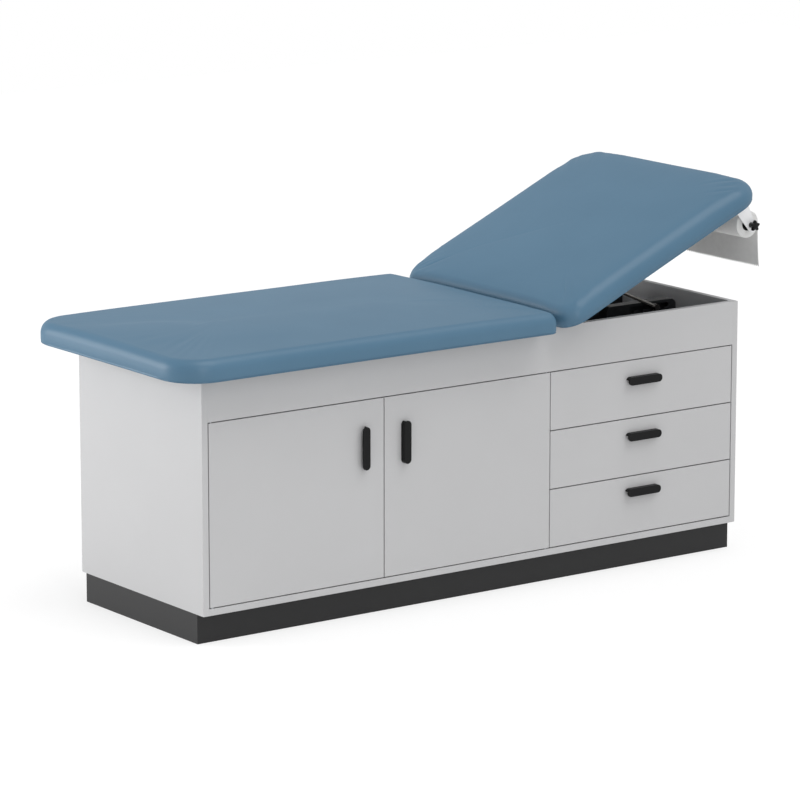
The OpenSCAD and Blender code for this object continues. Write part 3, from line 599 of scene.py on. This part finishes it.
vinyl = vinyl_finish()
seat_low, seat_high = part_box("seat_cushion")
half_width = seat_high.y
seat_cushion = loft(
    "seat_cushion_cover",
    cushion_rings(
        seat_low.x, seat_high.x, half_width, thickness=0.064, foot_corner=0.110, head_corner=0.030,
        edge=(0.012, 0.028, 0.034), crown=0.012, corner_dip=0.08,
    ),
    vinyl,
)
settle(seat_cushion)
seat_cushion.data.transform(Matrix.Translation((0, 0, seat_low.z)))
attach(seat_cushion, "cabinet")
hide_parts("seat_cushion")

joints = {joint["name"]: joint for joint in frame["joints"]}
hinge_place = Vector(joints["backrest_tilt"]["pos_m"])
backrest_tilt = -math.radians(joints["backrest_tilt"]["range_deg"][0])
to_backrest = Matrix.Translation(hinge_place) @ Matrix.Rotation(-backrest_tilt, 4, "Y")
hinge_drop = 0.021
back_nose = 0.004
back_reach = 0.755
back_cushion = loft(
    "backrest_cushion_cover",
    cushion_rings(
        -back_nose, back_reach, half_width, thickness=0.0655, foot_corner=0.066, head_corner=0.094,
        edge=(0.020, 0.036, 0.044), crown=0.012, corner_dip=0.26,
    ),
    vinyl,
)
settle(back_cushion)
back_cushion.data.transform(to_backrest @ Matrix.Translation((0, 0, hinge_drop)))
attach(back_cushion, "backrest")
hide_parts("backrest_cushion")

# Boards under the cushions
# Birch plywood, let into the foam. A black dust cover of spun cloth closes the underside inside
# the hem, and wire staples hold both.
slab_long_steps = 40
slab_cross_steps = 30


def rounded_slab(name, low_x, high_x, half_width, corner, low_z, high_z, ease, material):
    """A flat slab with round corners in plan and eased edges."""
    outline = cushion_outline(low_x, high_x, half_width, corner, corner, slab_long_steps, slab_cross_steps, 0)

    def ring(inset, height):
        return [(x - inset * out_x, y - inset * out_y, height) for x, y, out_x, out_y in outline]

    angles = [math.radians(30 * k) for k in range(4)]
    rings = [ring(ease * (1 - math.sin(a)), low_z + ease * (1 - math.cos(a))) for a in angles]
    rings += [ring(ease * (1 - math.cos(a)), high_z - ease + ease * math.sin(a)) for a in angles]
    return loft(name, rings, material)


staple_inset = 0.056
staple_corner = 0.030
staple_long_steps = 28
staple_cross_steps = 20
staple_half = 0.0050
wire = 0.0006
leg = 0.0030


def staples(name, low_x, high_x, half_width, skipped, material):
    """Wire staples along the hem, their legs driven into the board, left out where skipped says."""
    outline = cushion_outline(
        low_x + staple_inset, high_x - staple_inset, half_width - staple_inset,
        staple_corner, staple_corner, staple_long_steps, staple_cross_steps, 0,
    )
    points = []
    faces = []
    for x, y, out_x, out_y in outline[::2]:
        if skipped(x, y):
            continue
        first = len(points)
        for along, height in (
            (-staple_half, leg), (-staple_half, -wire), (staple_half, -wire), (staple_half, leg)
        ):
            for across, thick in ((-1, -1), (1, -1), (1, 1), (-1, 1)):
                shift = along + (wire if along < 0 else -wire) * (thick + 1)
                side = wire * across
                lift = height + (wire * (thick + 1) if height < 0 else 0)
                points.append((x - shift * out_y + side * out_x, y + shift * out_x + side * out_y, lift))
        for r in range(3):
            for i in range(4):
                j = (i + 1) % 4
                low = first + 4 * r
                faces.append((low + i, low + j, low + 4 + j, low + 4 + i))
        faces.append((first + 3, first + 2, first + 1, first))
        faces.append((first + 12, first + 13, first + 14, first + 15))
    return linked(name, points, faces, material)


dust_cloth = even_finish(
    "black spun cloth", linear(62, 62, 64), linear(54, 54, 56),
    gloss=0.85, tone_size=0.004, grain_size=0.0012, grain_depth=0.00025, shine=0.2,
)
board_inset = 0.042
board_top = 0.012
board_edge = 0.0008
cover_low = 0.0008
cover_high = 0.0016
cover_inset = 0.062
cover_corner = 0.040
cover_edge = 0.0002
cabinet_x = -0.93
cabinet_y = 0.31
hinge_x = 0.1
hinge_low_y = 0.195
hinge_high_y = 0.255
roll_x = 0.66
roll_low_y = 0.255
roll_high_y = 0.32


def over_cabinet(x, y):
    """Where the seat rests on the cabinet, so that no staple stands between them."""
    return x > cabinet_x and abs(y) < cabinet_y


def under_bracket(x, y):
    """Where a hinge bracket or a bracket of the paper roll is screwed to the backrest."""
    under_hinge = x < hinge_x and hinge_low_y < abs(y) < hinge_high_y
    under_roll = x > roll_x and roll_low_y < abs(y) < roll_high_y
    return under_hinge or under_roll


seat_place = Matrix.Translation((0, 0, seat_low.z))
back_place = to_backrest @ Matrix.Translation((0, 0, hinge_drop))
for name, low_x, high_x, corner, place, body, skipped in (
    ("seat", seat_low.x, seat_high.x, 0.060, seat_place, "cabinet", over_cabinet),
    ("backrest", -back_nose, back_reach, 0.100, back_place, "backrest", under_bracket),
):
    board = rounded_slab(
        name + "_plywood", low_x + board_inset, high_x - board_inset, half_width - board_inset,
        corner, cover_high, board_top, board_edge, birch,
    )
    board.data.transform(place)
    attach(board, body)
    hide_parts(name + "_board")
    wires = staples(name + "_staples", low_x, high_x, half_width, skipped, zinc)
    wires.data.transform(place)
    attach(wires, body)
    cover = rounded_slab(
        name + "_dust_cover", low_x + cover_inset, high_x - cover_inset, half_width - cover_inset,
        cover_corner, cover_low, cover_high, cover_edge, dust_cloth,
    )
    cover.data.transform(place)
    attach(cover, body)

# Paper roll
# Examination paper wound on a core, on a black spindle between two white sheet-metal brackets.
# A black star knob on the spindle's front end clamps it.
white_paint = even_finish(
    "white powder coat", linear(240, 240, 241), linear(236, 236, 237),
    gloss=0.4, tone_size=0.05, grain_size=0.0010, grain_depth=0.00005,
)
bracket_edge = 0.0005
eased("roll_brackets", white_paint, bracket_edge)
eased("roll_spindle", black_plastic)
paper = even_finish(
    "white examination paper", linear(230, 230, 229), linear(224, 224, 223),
    gloss=0.75, tone_size=0.02, grain_size=0.0010, grain_depth=0.00006,
)


def turned(name, profile, centre, around, material):
    """A closed profile of radius and place along Y, turned round an axis along Y through centre."""
    points = []
    faces = []
    for r, y in profile:
        for k in range(around):
            angle = 2 * math.pi * k / around
            points.append((centre.x + r * math.cos(angle), centre.y + y, centre.z + r * math.sin(angle)))
    for s in range(len(profile)):
        ring = s * around
        following = (s + 1) % len(profile) * around
        for i in range(around):
            j = (i + 1) % around
            faces.append((ring + i, ring + j, following + j, following + i))
    return linked(name, points, faces, material)


roll_centre = Vector(joints["paper_roll_turn"]["pos_m"])
roll_radius = 0.0385
roll_half = 0.288
core_radius = 0.0181
turn_spacing = 0.00085
turn_low = 0.0006
turn_high = 0.0004
outer_ease = 0.0010
slow_wander = 0.0003
quick_wander = 0.00025
turns = round((roll_radius - core_radius) / turn_spacing)
end_profile = []
for k in range(turns):
    proud = slow_wander * math.sin(2.4 * k) + quick_wander * math.sin(5.3 * k + 1)
    inner = core_radius + k * turn_spacing
    end_profile.append((inner, roll_half - turn_low + proud))
    end_profile.append((inner + 0.8 * turn_spacing, roll_half - turn_high + proud))
end_profile += [(roll_radius - 0.0001, roll_half - turn_low), (roll_radius, roll_half - outer_ease)]
roll_profile = end_profile + [(r, -y) for r, y in reversed(end_profile)]
roll = turned("paper_roll_wound", roll_profile, roll_centre, 96, paper)
roll_body = frame["nodes"]["paper_roll"]["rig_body"]
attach(roll, roll_body)
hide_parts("paper_roll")

# Star knob
# One moulding in black plastic: five fingers round a domed middle, on a short neck, with a bore from
# behind for the thread. It screws onto the spindle's front end and clamps it against the bracket.
knob_fingers = 5
knob_reach = 0.0158
knob_waist = 0.0098
neck_radius = 0.0078
neck_length = 0.0125
neck_ease = 0.0004
bore_radius = 0.0042
bore_depth = 0.0138
finger_turn = math.radians(90)
knob_around = 120
finger_point = 1.25
dome_spread = 1.15


def knob_ring(reach, waist, y):
    """Points round the knob: the outline runs between its waist and the tips of its fingers."""
    ring = []
    for k in range(knob_around):
        angle = 2 * math.pi * k / knob_around
        finger = (0.5 + 0.5 * math.cos(knob_fingers * (angle - finger_turn))) ** finger_point
        radius = waist + (reach - waist) * finger
        ring.append((roll_centre.x + radius * math.cos(angle), y, roll_centre.z + radius * math.sin(angle)))
    return ring


def round_ring(radius, y):
    return knob_ring(radius, radius, y)


neck_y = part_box("star_knob")[1].y
back_y = neck_y - neck_length
finger_profile = ((0.88, 0.0), (0.96, 0.0006), (1.0, 0.0018), (1.0, 0.0070), (0.97, 0.0088), (0.90, 0.0098))
dome_profile = ((0.78, 0.0100), (0.60, 0.0102), (0.44, 0.0110), (0.30, 0.0114), (0.12, 0.0115))
knob_rings = [round_ring(bore_radius, neck_y - bore_depth), round_ring(bore_radius, neck_y)]
knob_rings += [round_ring(neck_radius - neck_ease, neck_y), round_ring(neck_radius, neck_y - neck_ease)]
knob_rings.append(round_ring(neck_radius, back_y))
for share, y in finger_profile:
    knob_rings.append(knob_ring(knob_reach * share, knob_waist * share, back_y - y))
for share, y in dome_profile:
    knob_rings.append(knob_ring(knob_reach * share, knob_waist * min(1, share * dome_spread), back_y - y))
knob = loft("star_knob_moulding", knob_rings, black_plastic)
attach(knob, frame["nodes"]["star_knob"]["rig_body"])
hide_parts("star_knob")

# Hanging paper
# The free end of the roll: it leaves the roll on the head side, hangs plumb and curls outwards.
# Its lower edge was torn along a line of perforations, which leaves a row of small tabs.
tail_radius = roll_radius + 0.0003
tail_wrap = math.radians(50)
tail_drop = 0.125
tail_flare = 0.006
flare_power = 2.2
torn_flare = 1.03
broad_wave = 0.0009
fine_wave = 0.0005
tail_width = 2 * roll_half
paper_thickness = 0.00012
tail_columns = 137
wrap_rows = 8
drop_rows = 30
tab_height = 0.0030
tail_line = []
for k in range(wrap_rows):
    angle = tail_wrap * (1 - k / wrap_rows)
    tail_line.append((tail_radius * math.cos(angle), tail_radius * math.sin(angle)))
for k in range(drop_rows + 1):
    t = k / drop_rows
    tail_line.append((tail_radius + tail_flare * t ** flare_power, -(tail_drop - tab_height) * t))
tail_line.append((tail_radius + tail_flare * torn_flare, -tail_drop))
tail_points = []
for x, z in tail_line:
    fall = max(0, -z) / tail_drop
    for c in range(tail_columns + 1):
        y = -roll_half + tail_width * c / tail_columns
        wave = fall ** 2 * (broad_wave * math.sin(19 * y + 0.6) + fine_wave * math.sin(47 * y))
        tail_points.append((roll_centre.x + x + wave, roll_centre.y + y, roll_centre.z + z))
tail_faces = []
for r in range(len(tail_line) - 1):
    for c in range(tail_columns):
        if r < len(tail_line) - 2 or c % 2 == 0:
            low = r * (tail_columns + 1) + c
            tail_faces.append((low, low + 1, low + tail_columns + 2, low + tail_columns + 1))
tail = linked("hanging_paper_tail", tail_points, tail_faces, paper)
tail_thickness = tail.modifiers.new("thickness", "SOLIDIFY")
tail_thickness.thickness = paper_thickness
tail_thickness.offset = 0
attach(tail, frame["nodes"]["hanging_paper"]["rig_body"])
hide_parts("hanging_paper")

# Floor and light
# A white studio floor with a soft box behind the bed's foot end, a strip light far off in front, and
# a broad silk overhead, made as a wide sun. The world is white where it is seen, dimmer as a light.


def lamp(name, place, aim, width, height, power):
    """A soft box that points at aim."""
    data = bpy.data.lights.new(name, "AREA")
    data.shape = "RECTANGLE"
    data.size = width
    data.size_y = height
    data.energy = power
    light = bpy.data.objects.new(name, data)
    light.location = place
    light.rotation_euler = (Vector(aim) - Vector(place)).to_track_quat("-Z", "Y").to_euler()
    bpy.context.scene.collection.objects.link(light)
    return light


def seen_ray(nodes, links):
    """1 for the rays that see the background: from the camera, in a reflection, or through glass."""
    rays = nodes.new("ShaderNodeLightPath")
    seen = rays.outputs["Is Camera Ray"]
    for name in ("Is Glossy Ray", "Is Transmission Ray"):
        either = nodes.new("ShaderNodeMath")
        either.operation = "MAXIMUM"
        links.new(seen, either.inputs[0])
        links.new(rays.outputs[name], either.inputs[1])
        seen = either.outputs["Value"]
    return seen


bed_middle = (0, 0, 0.55)
lamp("foot end soft box", (-4.3, 3.3, 1.4), bed_middle, width=3.0, height=2.7, power=136)
lamp("strip light", (-2.2, -6.2, 2.6), bed_middle, width=0.6, height=5.0, power=66)

silk_strength = 1.3
silk_spread = math.radians(46)
silk_way = (-0.5, 0.8, -2.3)
overhead = bpy.data.objects.new("overhead silk", bpy.data.lights.new("overhead silk", "SUN"))
overhead.data.energy = silk_strength
overhead.data.angle = silk_spread
overhead.rotation_euler = Vector(silk_way).to_track_quat("-Z", "Y").to_euler()
bpy.context.scene.collection.objects.link(overhead)

world = bpy.data.worlds.new("studio")
world.use_nodes = True
bpy.context.scene.world = world
world_nodes = world.node_tree.nodes
world_links = world.node_tree.links
ambient = world_nodes["Background"]
ambient_level = 0.58
pure_white = (1, 1, 1, 1)
ambient.inputs["Color"].default_value = pure_white
ambient.inputs["Strength"].default_value = ambient_level
white = world_nodes.new("ShaderNodeBackground")
white.inputs["Color"].default_value = pure_white
pick = world_nodes.new("ShaderNodeMixShader")
world_links.new(seen_ray(world_nodes, world_links), pick.inputs["Fac"])
world_links.new(ambient.outputs["Background"], pick.inputs[1])
world_links.new(white.outputs["Background"], pick.inputs[2])
world_links.new(pick.outputs["Shader"], world_nodes["World Output"].inputs["Surface"])

floor_half = 9.0
floor_white = 0.85
floor_seen_white = 0.36
floor_seen_lift = 0.655
floor_mesh = bpy.data.meshes.new("floor")
floor_mesh.from_pydata(
    [(-floor_half, -floor_half, 0), (floor_half, -floor_half, 0),
     (floor_half, floor_half, 0), (-floor_half, floor_half, 0)], [], [(0, 1, 2, 3)]
)
floor = bpy.data.objects.new("floor", floor_mesh)
bpy.context.scene.collection.objects.link(floor)
floor_paint = bpy.data.materials.new("white floor")
floor_paint.use_nodes = True
floor_nodes = floor_paint.node_tree.nodes
floor_links = floor_paint.node_tree.links
matt = floor_nodes["Principled BSDF"]
matt.inputs["Roughness"].default_value = 0.9
matt.inputs["Specular IOR Level"].default_value = 0.1
whiteness = floor_nodes.new("ShaderNodeMapRange")
whiteness.inputs["To Min"].default_value = floor_white
whiteness.inputs["To Max"].default_value = floor_seen_white
floor_links.new(whiteness.outputs["Result"], matt.inputs["Base Color"])
lift = floor_nodes.new("ShaderNodeEmission")
lift_strength = floor_nodes.new("ShaderNodeMath")
lift_strength.operation = "MULTIPLY"
lift_strength.inputs[1].default_value = floor_seen_lift
seen_floor = seen_ray(floor_nodes, floor_links)
floor_links.new(seen_floor, lift_strength.inputs[0])
floor_links.new(seen_floor, whiteness.inputs["Value"])
floor_links.new(lift_strength.outputs["Value"], lift.inputs["Strength"])
both = floor_nodes.new("ShaderNodeAddShader")
floor_links.new(matt.outputs["BSDF"], both.inputs[0])
floor_links.new(lift.outputs["Emission"], both.inputs[1])
floor_links.new(both.outputs["Shader"], floor_nodes["Material Output"].inputs["Surface"])
floor.data.materials.append(floor_paint)

bpy.context.scene.view_settings.view_transform = "Standard"
